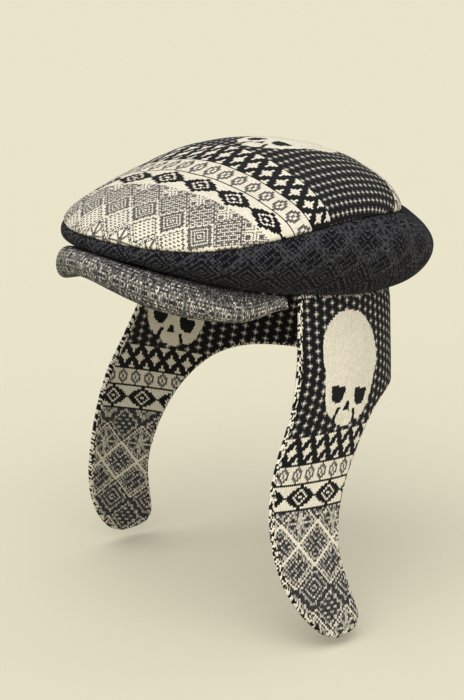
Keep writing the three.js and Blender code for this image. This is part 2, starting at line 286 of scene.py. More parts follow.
# Radius, middle height and half thickness of the peak, from its edge in to the rim
def peak_section(angle, share):
    depth = 1 - share
    base = rim_radius(angle) - RIM_OVERHANG
    taper = PEAK_PADDING_SHARE_AT_RIM + (1 - PEAK_PADDING_SHARE_AT_RIM) * depth
    padding = mirrored_column(PEAK_SECTIONS, "padding", angle) * taper
    edge_out = mirrored_column(PEAK_SECTIONS, "edge_out", angle)
    edge_up = mirrored_column(PEAK_SECTIONS, "edge_up", angle)
    base_up = rim_height(angle) - SEAM_GAP
    out = base + (edge_out - base) * depth
    fullness = PEAK_FULLNESS * np.sin(np.pi * np.clip(depth, 0, 1)) * np.cos(np.radians(angle)) ** 2
    up = base_up + (edge_up - base_up) * depth**2 - padding / 2 + fullness
    round_share = np.clip((depth - PEAK_ROUND_FROM) / (1 - PEAK_ROUND_FROM), 0, 1)
    return out, up, padding / 2 * np.sqrt(1 - round_share**2)


def peak_upper(angle, share):
    out, up, half = peak_section(angle, share)
    return out, up + half


# Direction from the seam into the wall, shared by the two panels that meet there
def seam_inward(angle):
    seam = np.stack(crown_place("seam", angle))
    above = seam - np.stack(crown_place("pull", angle))
    below = np.stack(crown_place("bulge", angle)) - seam
    outward = above / np.hypot(*above) + below / np.hypot(*below)
    outward = np.stack([-outward[1], outward[0]]) / np.hypot(*outward)
    return turned_out(-outward[0], -outward[1], angle)


# Turns round the rim where the flaps hang, and the length along it from its widest point to each
RIM_TURN_FROM = -1.2
RIM_TURN_TO = 1.8
RIM_POINTS = 3000
RIM_TURNS = np.linspace(RIM_TURN_FROM, RIM_TURN_TO, RIM_POINTS)
RIM_HALF_WIDTH = HEAD_HALF_WIDTH + RIM_OVERHANG / 2
RIM_HALF_LENGTH = HEAD_HALF_LENGTH + RIM_OVERHANG / 2
RIM_SPEEDS = np.hypot(RIM_HALF_WIDTH * np.sin(RIM_TURNS), RIM_HALF_LENGTH * np.cos(RIM_TURNS))
RIM_LENGTHS = np.cumsum(RIM_SPEEDS) * (RIM_TURNS[1] - RIM_TURNS[0])
RIM_LENGTHS = RIM_LENGTHS - np.interp(0, RIM_TURNS, RIM_LENGTHS)


# Middle of the flap's wall by length along the rim and drop below it
def flap_middle(along, drop):
    turn = np.interp(along, RIM_LENGTHS, RIM_TURNS)
    outward = np.stack([np.cos(turn) / RIM_HALF_WIDTH, np.sin(turn) / RIM_HALF_LENGTH])
    outward = outward / np.hypot(*outward)
    splays = [smooth(FLAP_SPLAY["drop"], FLAP_SPLAY[name], drop) for name in SPLAY_ANCHORS]
    splay = smooth(list(SPLAY_ANCHORS.values()), splays, along)
    x = RIM_HALF_WIDTH * np.cos(turn) + outward[0] * splay
    y = RIM_HALF_LENGTH * np.sin(turn) + outward[1] * splay
    return np.stack([x, y, -SEAM_GAP - drop], axis=-1)


# A table on an even grid, read between its points and past its ends
@dataclass
class EvenTable:
    first: tuple
    step: tuple
    values: np.ndarray

    def at(self, row_place, column_place):
        row_count, column_count = self.values.shape
        row = (row_place - self.first[0]) / self.step[0]
        column = (column_place - self.first[1]) / self.step[1]
        low_row = np.clip(np.floor(row), 0, row_count - 2).astype(int)
        low_column = np.clip(np.floor(column), 0, column_count - 2).astype(int)
        row_share = row - low_row
        column_share = column - low_column
        near = self.values[low_row, low_column] * (1 - column_share)
        near = near + self.values[low_row, low_column + 1] * column_share
        far = self.values[low_row + 1, low_column] * (1 - column_share)
        far = far + self.values[low_row + 1, low_column + 1] * column_share
        return near * (1 - row_share) + far * row_share


# How finely sections and outlines are measured
SECTION_ANGLE_STEP = 1.5
SECTION_SHARE_STEP = 0.01
SECTION_POINTS = 401
OUTLINE_POINTS = 121


# Real length of a section, and the share of its curve at each share of that length
def section_lengths(section, end_angle):
    angles = np.arange(0, end_angle + SECTION_ANGLE_STEP, SECTION_ANGLE_STEP)
    shares = np.linspace(0, 1, SECTION_POINTS)
    even_shares = np.arange(0, 1 + SECTION_SHARE_STEP / 2, SECTION_SHARE_STEP)
    totals = []
    tables = []
    for angle in angles:
        out, up = section(angle, shares)
        steps = np.hypot(np.diff(out), np.diff(up))
        lengths = np.concatenate([[0], np.cumsum(steps)])
        totals.append(lengths[-1])
        tables.append(np.interp(even_shares, lengths / lengths[-1], shares))
    table = EvenTable((0, 0), (SECTION_ANGLE_STEP, SECTION_SHARE_STEP), np.array(tables))
    return (lambda angle: np.interp(np.abs(angle), angles, totals)), table


top_length, top_shares = section_lengths(top_section, 180)
side_length, side_shares = section_lengths(side_section, 180)
peak_length, peak_shares = section_lengths(peak_upper, PEAK_END_DEG + SECTION_ANGLE_STEP)


# Surfaces in the flat: across and back on the top, round and up on a side, round and inward on the peak
SIDE_MM_PER_DEG = 1.95
PEAK_MM_PER_DEG = 1.95


def top_surface(across, back):
    angle = np.degrees(np.arctan2(across, -back))
    length_share = np.hypot(across, back) / top_length(angle)
    share = top_shares.at(np.abs(angle), length_share)
    return turned_out(*top_section(angle, share), angle)


def side_surface(around, up):
    angle = around / SIDE_MM_PER_DEG
    share = side_shares.at(np.clip(angle, 0, 180), up / side_length(angle))
    point = turned_out(*side_section(angle, share), angle)
    point[..., 0] = np.maximum(point[..., 0], SEAM_GAP / 2)
    return point


def peak_place(around, inward):
    angle = around / PEAK_MM_PER_DEG
    share = peak_shares.at(np.abs(angle), inward / peak_length(angle))
    return angle, np.clip(share, 0, 1)


def peak_surface(around, inward):
    angle, share = peak_place(around, inward)
    out, up, _ = peak_section(angle, share)
    return turned_out(out, up, angle)


# Outlines in the same flat coordinates
def top_outline():
    angles = np.linspace(-180, 180, 2 * OUTLINE_POINTS - 1)[:-1]
    lengths = top_length(angles)
    turns = np.radians(angles)
    return np.stack([lengths * np.sin(turns), -lengths * np.cos(turns)], axis=-1)


def side_outline():
    angles = np.linspace(0, 180, OUTLINE_POINTS)
    upper = np.stack([angles * SIDE_MM_PER_DEG, side_length(angles)], axis=-1)
    lower = np.stack([angles * SIDE_MM_PER_DEG, 0 * angles], axis=-1)
    return np.concatenate([lower, upper[::-1]])


def peak_outline():
    angles = np.linspace(-PEAK_END_DEG, PEAK_END_DEG, OUTLINE_POINTS)
    inner = np.stack([angles * PEAK_MM_PER_DEG, peak_length(angles)], axis=-1)
    outer = np.stack([angles * PEAK_MM_PER_DEG, 0 * angles], axis=-1)
    return np.concatenate([outer, inner[::-1]])


def flap_outline():
    rows = np.arange(len(FLAP_CUT["front_along"]))
    fine = np.linspace(0, rows[-1], OUTLINE_POINTS)
    edges = {name: smooth(rows, column, fine) for name, column in FLAP_CUT.items()}
    front = np.stack([edges["front_along"], np.maximum(edges["front_drop"], 0)], axis=-1)
    rear_along = np.minimum(edges["rear_along"], FLAP_BACK_ALONG)
    rear = np.stack([rear_along, np.maximum(edges["rear_drop"], 0)], axis=-1)
    front[0, 1] = -FLAP_TUCK
    rear[0, 1] = -FLAP_TUCK
    return np.concatenate([front, rear[-2::-1]])


def is_inside(outline, across, down):
    inside = np.zeros(across.shape, bool)
    for start, end in zip(outline, np.roll(outline, -1, axis=0)):
        if start[1] != end[1]:
            crosses = (start[1] > down) != (end[1] > down)
            where = start[0] + (down - start[1]) / (end[1] - start[1]) * (end[0] - start[0])
            inside ^= crosses & (across < where)
    return inside


# Distance to an outline and the nearest place on it
def nearest_on(outline, across, down):
    best = np.full(across.shape, np.inf)
    near_across = across.copy()
    near_down = down.copy()
    for start, end in zip(outline, np.roll(outline, -1, axis=0)):
        step = end - start
        square = max(step @ step, TINY)
        share = ((across - start[0]) * step[0] + (down - start[1]) * step[1]) / square
        share = np.clip(share, 0, 1)
        at_across = start[0] + share * step[0]
        at_down = start[1] + share * step[1]
        distance = np.hypot(across - at_across, down - at_down)
        closer = distance < best
        best = np.where(closer, distance, best)
        near_across = np.where(closer, at_across, near_across)
        near_down = np.where(closer, at_down, near_down)
    return best, near_across, near_down


# Patterns, by stitch column and row: first the small crosses
def cross_yarn(column, row):
    drop = np.where(column % (2 * CROSS_COLUMNS) < CROSS_COLUMNS, 0, CROSS_ROWS // 2)
    across = np.abs(column % CROSS_COLUMNS - CROSS_COLUMNS // 2)
    down = np.abs((row + drop) % CROSS_ROWS - CROSS_MIDDLE_ROW)
    yarn = np.where(across + down == 1, ASH, BLACK)
    return np.where(across + down == 0, CREAM, yarn)


# A net of thick bars round upright lozenges
def lattice_yarn(column, row):
    half_width = LATTICE_COLUMNS / 2
    half_height = LATTICE_ROWS / 2
    across = np.abs(column % LATTICE_COLUMNS - half_width) / half_width
    down = np.abs(row % LATTICE_ROWS - half_height) / half_height
    return np.where(np.abs(across + down - 1) < LATTICE_BAR, BLACK, CREAM)


# Marks of a chart that repeats to both sides
def chart_marks(chart, column, row):
    marks = np.array([list(line) for line in chart])
    return marks[np.clip(row, 0, len(chart) - 1), column % marks.shape[1]]


def small_diamond_yarn(column, row):
    return np.where(chart_marks(SMALL_DIAMOND, column, row) == "#", GREY, CREAM)


# How far a place lies from the middle of its repeat
def from_middle(place, size):
    return np.abs(place % size - (size - 1) / 2)


def big_diamond_yarn(column, row):
    out = np.floor(from_middle(column, BIG_COLUMNS)).astype(int)
    marks = chart_marks(BIG_DIAMOND, out, np.minimum(row, BIG_ROWS - 1 - row))
    return np.where(marks == "#", BLACK, CREAM)


# Motifs of the patchwork, in stitches along both slants of a square, with its rings counted inwards
STAR_ARM = 1.1
STAR_CROSS = 0.8
NEST_STEP = 3
EYES_RING = 1
EYES_MIDDLE_RING = 4
CHECK = 2
BRICK_HEIGHT = 4
BRICK_LENGTH = 8


def square_ring(rise, fall, size):
    return np.floor(size / 2 - np.maximum(from_middle(rise, size), from_middle(fall, size)))


def star_motif(rise, fall, cell):
    from_rise = from_middle(rise, cell)
    from_fall = from_middle(fall, cell)
    is_arm = np.abs(from_rise - from_fall) < STAR_ARM
    return is_arm | (np.minimum(from_rise, from_fall) < STAR_CROSS)


def nest_motif(rise, fall, cell):
    return square_ring(rise, fall, cell) % NEST_STEP == NEST_STEP - 1


def eyes_motif(rise, fall, cell):
    ring = square_ring(rise, fall, cell // 2)
    return (ring == EYES_RING) | (ring >= EYES_MIDDLE_RING)


def checks_motif(rise, fall, cell):
    return (rise % (2 * CHECK) < CHECK) & (fall % (2 * CHECK) < CHECK)


def bricks_motif(rise, fall, cell):
    is_first_course = rise % (2 * BRICK_HEIGHT) < BRICK_HEIGHT
    joint = np.where(is_first_course, 0, BRICK_LENGTH // 2)
    return (rise % BRICK_HEIGHT == 0) | (fall % BRICK_LENGTH == joint)


MOTIFS = (star_motif, nest_motif, eyes_motif, checks_motif, bricks_motif)
SWAPPED_MOTIFS = (MOTIFS.index(nest_motif), MOTIFS.index(bricks_motif))
LADDER_RING = 1
BORDER_RING = 2
RUNG_STEP = 6
RUNG = 2


# A patchwork of slanted squares in ladder frames: where it is dense, two motifs swap light and dark
def patchwork_yarn(column, row, cell, frame_yarn, light, dark, is_dense=False):
    rise = column + row
    fall = column - row
    kind = (2 * (rise // cell) + 3 * (fall // cell)) % len(MOTIFS)
    ring = square_ring(rise, fall, cell)
    is_light = np.choose(kind, [motif(rise, fall, cell) for motif in MOTIFS])
    is_swapped = is_dense & np.isin(kind, SWAPPED_MOTIFS)
    is_light = (is_light ^ is_swapped) & (ring > BORDER_RING)
    is_rung = (ring == LADDER_RING) & ((rise + fall) % RUNG_STEP < RUNG)
    inside = np.where(is_light | is_rung | (ring == BORDER_RING), light, dark)
    return np.where((ring == 0) & (kind % 2 == 0), frame_yarn, inside)


# A plain skull: its place across runs from -1 to 1, and down from 0 at its top to 1 at its chin
DOME_MIDDLE = 0.40
DOME_HALF_HEIGHT = 0.41
JAW = {
    "down": (0.55, 0.70, 0.79, 0.85, 0.90, 0.94, 0.945, 0.98, 1),
    "width": (0.93, 0.85, 0.78, 0.72, 0.62, 0.48, 0.30, 0.25, 0.14),
}
EYE_OUT = 0.41
EYE_DOWN = 0.735
EYE_HALF_WIDTH = 0.215
EYE_HALF_HEIGHT = 0.08
EYE_FLARE = 0.25
EYE_ROUND = 3
EYE_BROW = -0.8
NOSE_TOP = 0.785
NOSE_FOOT = 0.87
NOSE_HALF_WIDTH = 0.04
NOSE_FLARE = 0.9
JAW_GAP_OUT = 0.28
JAW_GAP_DOWN = 0.86
JAW_GAP_TOP = 0.85
JAW_GAP_SLANT = 0.9
JAW_GAP_HALF_WIDTH = 0.05


def skull_bone(side, down):
    dome = np.sqrt(np.clip(1 - ((down - DOME_MIDDLE) / DOME_HALF_HEIGHT) ** 2, 0, 1))
    width = np.where(down < JAW["down"][0], dome, np.interp(down, JAW["down"], JAW["width"]))
    return (side < width) & (down >= 0) & (down <= 1)


# The eyes, the nose and the slits that set the jaw off
def skull_hollows(side, down):
    eye_down = (down - EYE_DOWN) / EYE_HALF_HEIGHT
    eye_out = (side - EYE_OUT) / EYE_HALF_WIDTH * (1 + EYE_FLARE * eye_down)
    eye = np.abs(eye_out) ** EYE_ROUND + np.abs(eye_down) ** EYE_ROUND < 1
    eye = eye & (eye_down > EYE_BROW)
    nose = side < NOSE_HALF_WIDTH + NOSE_FLARE * (down - NOSE_TOP)
    nose = nose & (down > NOSE_TOP) & (down < NOSE_FOOT)
    gap_out = JAW_GAP_OUT + JAW_GAP_SLANT * (down - JAW_GAP_DOWN)
    jaw_gap = (np.abs(side - gap_out) < JAW_GAP_HALF_WIDTH) & (down > JAW_GAP_TOP)
    return eye | nose | jaw_gap


def with_skull(yarn, across, down):
    side = np.abs(across)
    skull = np.where(skull_hollows(side, down), BLACK, CREAM)
    return np.where(skull_bone(side, down), skull, yarn)


# The bands that the crown and the flaps share, by stitch column and place down the band repeat
def band_yarn(column, place, patchwork):
    row = np.floor(place).astype(int)
    yarn = np.where(row < FIRST_LINE, lattice_yarn(column, row), CREAM)
    yarn = np.where(row > FIRST_LINE, small_diamond_yarn(column, row - FIRST_LINE - 1), yarn)
    yarn = np.where(row > SECOND_LINE, big_diamond_yarn(column, row - SECOND_LINE - 1), yarn)
    yarn = np.where(row > THIRD_LINE, patchwork, yarn)
    is_line_row = (row == FIRST_LINE) | (row == SECOND_LINE) | (row == THIRD_LINE)
    line = np.where(place - row < LINE_SHARE, BLACK, CREAM)
    return np.where(is_line_row, line, yarn)


# Columns knitted past the cut on each side, and then cut away
SPARE_COLUMNS = 2


# One knitted panel: its stitches, its cut and the surface that it lies on
@dataclass
class Panel:
    name: str
    node: str
    slot: str
    wale: float
    course: float
    columns: tuple
    rows: tuple
    place: Callable
    surface: Callable
    outline: np.ndarray
    yarn: Callable
    half_wall: Callable
    sunk: float
    edge_radius: float
    inward: Callable
    uneven: float
    fleck: float
    edge_specks: float = 0


# The corners of a panel's stitches: in the cloth, on the surface, and whether they are used or cut
@dataclass
class Stitches:
    half: np.ndarray
    row: np.ndarray
    across: np.ndarray
    down: np.ndarray
    first: np.ndarray
    second: np.ndarray
    keep: np.ndarray
    used: np.ndarray
    on_edge: np.ndarray
    edge_distance: np.ndarray


# Where the stitches lie in the cloth: the middle of each stitch hangs lower than its sides
def stitch_corners(panel):
    halves = np.arange(2 * panel.columns[0], 2 * panel.columns[1] + 1)
    rows = np.arange(panel.rows[0], panel.rows[1] + 1)
    half, row = np.meshgrid(halves, rows, indexing="ij")
    across = half * panel.wale / 2
    down = (row + STITCH_SLANT * (half % 2)) * panel.course
    return half, row, across, down


# Mean of the four corners of each half stitch
def corner_mean(values):
    return (values[:-1, :-1] + values[1:, :-1] + values[:-1, 1:] + values[1:, 1:]) / 4


# Half stitches inside the outline, without those that hang on by one side
def kept_legs(panel, first, second):
    keep = is_inside(panel.outline, corner_mean(first), corner_mean(second))
    padded = np.pad(keep, 1).astype(int)
    neighbours = padded[:-2, 1:-1] + padded[2:, 1:-1] + padded[1:-1, :-2] + padded[1:-1, 2:]
    return keep & (neighbours > 1)


# How many kept half stitches meet at each corner
def legs_at_corners(keep):
    padded = np.pad(keep, 1).astype(int)
    return padded[:-1, :-1] + padded[1:, :-1] + padded[:-1, 1:] + padded[1:, 1:]


# Lay out a panel's stitches, with the corners of its cut edge drawn onto its outline
def laid_stitches(panel):
    half, row, across, down = stitch_corners(panel)
    first, second = panel.place(across, down)
    keep = kept_legs(panel, first, second)
    legs = legs_at_corners(keep)
    used = legs > 0
    on_edge = used & (legs < len(LEG_RING))
    distance, near_first, near_second = nearest_on(panel.outline, first[used], second[used])
    first[used] = np.where(on_edge[used], near_first, first[used])
    second[used] = np.where(on_edge[used], near_second, second[used])
    edge_distance = np.zeros(first.shape)
    edge_distance[used] = np.where(on_edge[used], 0, distance)
    return Stitches(half, row, across, down, first, second, keep, used, on_edge, edge_distance)


def unit(vectors):
    return vectors / np.maximum(np.linalg.norm(vectors, axis=-1, keepdims=True), TINY)


# A panel's surface and its normal, which may point in or out
def surface_normal(panel, first, second):
    here = panel.surface(first, second)
    along = panel.surface(first + SLOPE_STEP, second) - panel.surface(first - SLOPE_STEP, second)
    down = panel.surface(first, second + SLOPE_STEP) - panel.surface(first, second - SLOPE_STEP)
    return here, unit(np.cross(along, down))


# Rounded share of a wall's half thickness, by distance from its cut edge
def rounded(distance, radius):
    rest = 1 - np.clip(distance / radius, 0, 1)
    return np.sqrt(1 - rest**2)


def lump_wave(points, name):
    lengths, start = LUMP_WAVES[name]
    return np.sin(np.sum(points / lengths, axis=-1) + start)


# Gentle lumps of a worn knit, in millimetres
def lumps(points):
    broad = lump_wave(points, "broad_across") * lump_wave(points, "broad_along")
    broad = broad + SLANTED_LUMP * lump_wave(points, "slanted")
    fine = lump_wave(points, "fine_level") * lump_wave(points, "fine_upright")
    return BROAD_LUMP * broad + FINE_LUMP * fine


# From the level frame in millimetres to the dipped frame in metres
def dipped(points):
    dip = np.radians(RIM_DIP_DEG)
    x, y, z = points[..., 0], points[..., 1], points[..., 2]
    along = y * np.cos(dip) + z * np.sin(dip)
    up = z * np.cos(dip) - y * np.sin(dip)
    return np.stack([x, along, up], axis=-1) * METRES


# Outer and inner layer of a panel, one point for each used corner
def panel_layers(panel, stitches):
    used = stitches.used
    first = stitches.first[used]
    second = stitches.second[used]
    distance = stitches.edge_distance[used]
    here, normal = surface_normal(panel, first, second)
    inward = panel.inward(first, second, normal)
    middle = here + inward * panel.sunk
    edge_round = rounded(distance, panel.edge_radius)
    wall = np.where(stitches.on_edge[used], 0, panel.half_wall(first, second) * edge_round)
    relief = WALE_RELIEF * np.where(stitches.half[used] % 2 == 1, 1, -1) * edge_round
    lump = panel.uneven * lumps(middle) * np.clip(distance / LUMP_EDGE_EASE, 0, 1)
    outer = middle - inward * (wall + relief + lump)[..., None]
    inner = middle + inward * (wall + relief - lump)[..., None]
    return outer, inner


# Points of both layers, which share those of the cut edge, and each corner's number in either layer
def layer_points(panel, stitches):
    outer, inner = panel_layers(panel, stitches)
    used = stitches.used
    free = used & ~stitches.on_edge
    outer_number = np.full(used.shape, -1)
    outer_number[used] = np.arange(used.sum())
    inner_number = outer_number.copy()
    inner_number[free] = used.sum() + np.arange(free.sum())
    points = dipped(np.concatenate([outer, inner[free[used]]]))
    return points, outer_number, inner_number


# Values at the four corners of each kept leg, in order round it
def round_legs(values, legs):
    columns, rows = legs
    return np.stack([values[columns + i, rows + j] for i, j in LEG_RING], axis=1)


# Bake layout: the outer layer on the left half of the square and the inner layer on the right half
def bake_layout(flat):
    placed = flat - flat.min(axis=(0, 1))
    placed = placed / placed.max(axis=(0, 1)) * BAKE_SIZE + BAKE_MARGIN
    return np.concatenate([placed, placed[:, ::-1] + BAKE_INNER_SHIFT])


# Colours of the legs: flecked yarns vary from stitch to stitch, and turned edges show both sides
def leg_yarns(panel, stitches, generator):
    column = np.floor_divide(stitches.half[:-1, :-1], 2)
    row = stitches.row[:-1, :-1]
    index = panel.yarn(column, row, corner_mean(stitches.across), corner_mean(stitches.down))
    specks = np.where(generator.random(index.shape) < EDGE_CREAM_SHARE, CREAM, BLACK)
    index = np.where(corner_mean(stitches.edge_distance) < panel.edge_specks, specks, index)
    colours = np.array(list(YARNS.values()))[index]
    spread = np.where(index >= GREY, panel.fleck, PLAIN_SPREAD)
    tone = np.clip(1 + spread * generator.normal(0, 1, index.shape), *TONE_RANGE)
    return np.clip(colours * tone[..., None], *COLOUR_RANGE)


def new_mesh(name, points, faces):
    mesh = bpy.data.meshes.new(name)
    mesh.vertices.add(len(points))
    mesh.vertices.foreach_set("co", points.astype(np.float32).ravel())
    mesh.loops.add(faces.size)
    mesh.loops.foreach_set("vertex_index", faces.astype(np.int32).ravel())
    mesh.polygons.add(len(faces))
    mesh.polygons.foreach_set("loop_start", np.arange(0, faces.size, len(LEG_RING), dtype=np.int32))
    mesh.update(calc_edges=True)
    mesh.polygons.foreach_set("use_smooth", np.ones(len(faces), dtype=bool))
    return mesh


def add_uv(mesh, name, corners):
    layer = mesh.uv_layers.new(name=name)
    layer.data.foreach_set("uv", corners.astype(np.float32).ravel())


# One yarn colour for all the corners of a face
def add_yarn_colours(mesh, colours):
    opaque = np.concatenate([colours, np.ones((len(colours), 1))], axis=1)
    corners = np.repeat(opaque, len(LEG_RING), axis=0)
    yarn = mesh.color_attributes.new("yarn", "FLOAT_COLOR", "CORNER")
    yarn.data.foreach_set("color", corners.astype(np.float32).ravel())


# Knit one panel of two layers, the inner one turned round. A mirrored one is for the wearer's right
def knit(panel, is_mirrored=False):
    generator = np.random.default_rng(len(panel.name))
    stitches = laid_stitches(panel)
    points, outer_number, inner_number = layer_points(panel, stitches)
    legs = np.nonzero(stitches.keep)
    faces = np.concatenate([round_legs(outer_number, legs), round_legs(inner_number, legs)[:, ::-1]])
    stitch_uv = round_legs(np.stack([stitches.half / 2, stitches.row], axis=-1), legs)
    stitch_uv = np.concatenate([stitch_uv, stitch_uv[:, ::-1]])
    bake_uv = bake_layout(round_legs(np.stack([stitches.across, -stitches.down], axis=-1), legs))
    colours = leg_yarns(panel, stitches, generator)[legs]
    # The inner layer gets the same yarns darkened, as painted shade
    colours = np.concatenate([colours, colours * INNER_PAINTED_SHADE])
    name = panel.name
    node = panel.node
    if is_mirrored:
        name = name.replace("left", "right")
        node = node.replace("left", "right")
        points = points * (-1, 1, 1)
        faces = faces[:, ::-1]
        stitch_uv = stitch_uv[:, ::-1]
        bake_uv = bake_uv[:, ::-1]
    mesh = new_mesh(name, points, faces)
    add_uv(mesh, "Stitches", stitch_uv)
    add_uv(mesh, "OFBake", bake_uv)
    add_yarn_colours(mesh, colours)
    piece = bpy.data.objects.new(name, mesh)
    bpy.context.collection.objects.link(piece)
    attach(piece, "root")
    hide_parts(node)
    return piece


# Add a node with its settings and the values of its sockets
def add_node(tree, kind, inputs=None, **settings):
    node = tree.nodes.new(kind)
    for name, value in settings.items():
        setattr(node, name, value)
    for key, value in (inputs or {}).items():
        if isinstance(value, bpy.types.NodeSocket):
            tree.links.new(value, node.inputs[key])
        else:
            node.inputs[key].default_value = value
    return node


def math_node(tree, operation, first, second=0.5):
    return add_node(tree, "ShaderNodeMath", {0: first, 1: second}, operation=operation).outputs[0]


# How wool knit looks: tones from lowest to highest, the legs' tones being painted shade between the legs,
# and the sizes of its fibres and clouds per metre
LEG_PAINTED_SHADE_TONES = (0.70, 1.12)
FIBRE_TONES = (0.86, 1.14)
CLOUD_TONES = (0.90, 1.10)
FIBRE_SCALE = 2600
FIBRE_DETAIL = 3
FIBRE_HEIGHT = 0.35
CLOUD_SCALE = 38
CLOUD_DETAIL = 2
LEGS_PER_STITCH = 2
LEG_FULLNESS_ACROSS = 0.6
LEG_FULLNESS_ALONG = 0.5


# Half a sine wave over each unit, as the round of a yarn
def yarn_round(tree, place, fullness):
    turned = math_node(tree, "MULTIPLY", math_node(tree, "FRACT", place), np.pi)
    return math_node(tree, "POWER", math_node(tree, "SINE", turned), fullness)


# Plumpness of the legs, from 0 between them to 1 along their middles
def plump_legs(tree):
    stitches = add_node(tree, "ShaderNodeUVMap", uv_map="Stitches").outputs["UV"]
    split = add_node(tree, "ShaderNodeSeparateXYZ", {0: stitches})
    leg_place = math_node(tree, "MULTIPLY", split.outputs["X"], LEGS_PER_STITCH)
    across = yarn_round(tree, leg_place, LEG_FULLNESS_ACROSS)
    along = yarn_round(tree, split.outputs["Y"], LEG_FULLNESS_ALONG)
    return math_node(tree, "MULTIPLY", across, along)


def wool_noise(tree, scale, detail):
    place = add_node(tree, "ShaderNodeTexCoord").outputs["Object"]
    inputs = {"Vector": place, "Scale": scale, "Detail": detail}
    return add_node(tree, "ShaderNodeTexNoise", inputs).outputs[0]


def toned(tree, value, tones):
    inputs = {"Value": value, "To Min": tones[0], "To Max": tones[1]}
    return add_node(tree, "ShaderNodeMapRange", inputs).outputs[0]


# Wool knit: plump slanted legs with painted shade between them, and a soft halo of fibres
def wool_knit(name, sheen):
    material = bpy.data.materials.new(name)
    material.use_nodes = True
    tree = material.node_tree
    shader = tree.nodes["Principled BSDF"]
    plump = plump_legs(tree)
    fibres = wool_noise(tree, FIBRE_SCALE, FIBRE_DETAIL)
    clouds = wool_noise(tree, CLOUD_SCALE, CLOUD_DETAIL)
    # Colour darkened between the legs: painted shade in the grooves
    tone = math_node(tree, "MULTIPLY", toned(tree, plump, LEG_PAINTED_SHADE_TONES), toned(tree, fibres, FIBRE_TONES))
    tone = math_node(tree, "MULTIPLY", tone, toned(tree, clouds, CLOUD_TONES))
    yarn = add_node(tree, "ShaderNodeAttribute", attribute_name="yarn").outputs["Color"]
    colour = add_node(tree, "ShaderNodeVectorMath", {0: yarn, "Scale": tone}, operation="SCALE").outputs[0]
    height = math_node(tree, "ADD", plump, math_node(tree, "MULTIPLY", fibres, FIBRE_HEIGHT))
    bump = add_node(tree, "ShaderNodeBump", {"Height": height, "Strength": 0.7, "Distance": 0.0005})
    tree.links.new(colour, shader.inputs["Base Color"])
    tree.links.new(bump.outputs[0], shader.inputs["Normal"])
    shader.inputs["Roughness"].default_value = 0.95
    shader.inputs["Specular IOR Level"].default_value = 0.08
    shader.inputs["Sheen Weight"].default_value = sheen
    shader.inputs["Sheen Roughness"].default_value = 0.6
    return material


# The crown's top panel: its rows fan out, so each crosses the middle at its own place and slant
CROWN_WALE = 1.9
CROWN_COURSE = 1.1
CROWN_COLUMNS = (-90, 90)
CROWN_ROWS = (-106, 142)
CROWN_FAN = {
    "front": (-118, -58, 14, 41, 61, 82, 160),
    "slant": (-0.11, -0.11, 0, 0.12, 0.185, 0.24, 0.24),
    "shift": (0, 0, 0, 1.5, 4.4, 8.9, 27),
    "spread_to": (80, 80, 85, 112, 120, 125, 160),
    "band_row": (-66, -36, 0, FIRST_LINE, SECOND_LINE, THIRD_LINE, THIRD_LINE + 50),
}
CROWN_FAN_LIMIT = 30
CROWN_FAN_EASE = 25
CROWN_DRAWN_IN = 0.72
CROWN_SKULL_TOP = 56
CROWN_SKULL_CHIN = -8
CROWN_SKULL_HALF_WIDTH = 33
CROWN_REAR_FROM = 58
CROWN_REAR_ROW = 2
CROWN_DIAMOND_SHIFT = 5
CROWN_CELL = 26
CROWN_MIDDLE = (0, 0, 30)


# The slant eases off towards the wearer's right
def fan_across(across):
    past = np.minimum(across + CROWN_FAN_LIMIT, 0)
    return np.maximum(across, -CROWN_FAN_LIMIT) - CROWN_FAN_EASE * (1 - np.exp(past / CROWN_FAN_EASE))


# Stitches are drawn in where the panel is eased into its seam at the sides
def top_place(across, down):
    names = ("slant", "shift", "spread_to")
    slant, shift, spread_to = (np.interp(down, CROWN_FAN["front"], CROWN_FAN[name]) for name in names)
    past = np.maximum(np.abs(across) - spread_to, 0)
    placed = across - np.sign(across) * past * (1 - CROWN_DRAWN_IN) + shift
    return placed, slant * fan_across(placed) - down


def top_yarn(column, row, across, down):
    front = (row + 0.5) * CROWN_COURSE
    place = np.interp(front, CROWN_FAN["front"], CROWN_FAN["band_row"])
    half_column = np.floor(2 * across / CROWN_WALE).astype(int)
    patchwork = patchwork_yarn(half_column, row, CROWN_CELL, GREY, GREY, CREAM, is_dense=True)
    bands = band_yarn(column - CROWN_DIAMOND_SHIFT, place, patchwork)
    yarn = np.where(place >= 0, bands, cross_yarn(column, row))
    behind = np.floor((-front - CROWN_REAR_FROM) / CROWN_REAR_ROW).astype(int)
    strip = small_diamond_yarn(column, behind - 1)
    strip = np.where(behind > SMALL_ROWS, lattice_yarn(column, behind), strip)
    strip = np.where((behind == 0) | (behind == SMALL_ROWS + 1), BLACK, strip)
    yarn = np.where(behind >= 0, strip, yarn)
    placed, back = top_place(across, down)
    skull_down = (CROWN_SKULL_TOP - back) / (CROWN_SKULL_TOP - CROWN_SKULL_CHIN)
    return with_skull(yarn, placed / CROWN_SKULL_HALF_WIDTH, skull_down)


# Blend from a wall's own inward direction to the one that two panels share at their seam
SEAM_BLEND = 4


def towards_seam(own, shared, distance):
    share = np.clip(1 - distance / SEAM_BLEND, 0, 1)[..., None]
    return unit(own * (1 - share) + shared * share)


# Turn the normals that point along a direction the other way
def turned_against(normal, direction):
    facing = np.sum(normal * direction, axis=-1, keepdims=True)
    return np.where(facing < 0, normal, -normal)


# Half thickness of a wall that is even all over
def even_wall(thickness):
    return lambda first, second: np.full(first.shape, thickness / 2)


def top_inward(across, back, normal):
    angle = np.degrees(np.arctan2(across, -back))
    inward = turned_against(normal, top_surface(across, back) - CROWN_MIDDLE)
    return towards_seam(inward, seam_inward(angle), top_length(angle) - np.hypot(across, back))


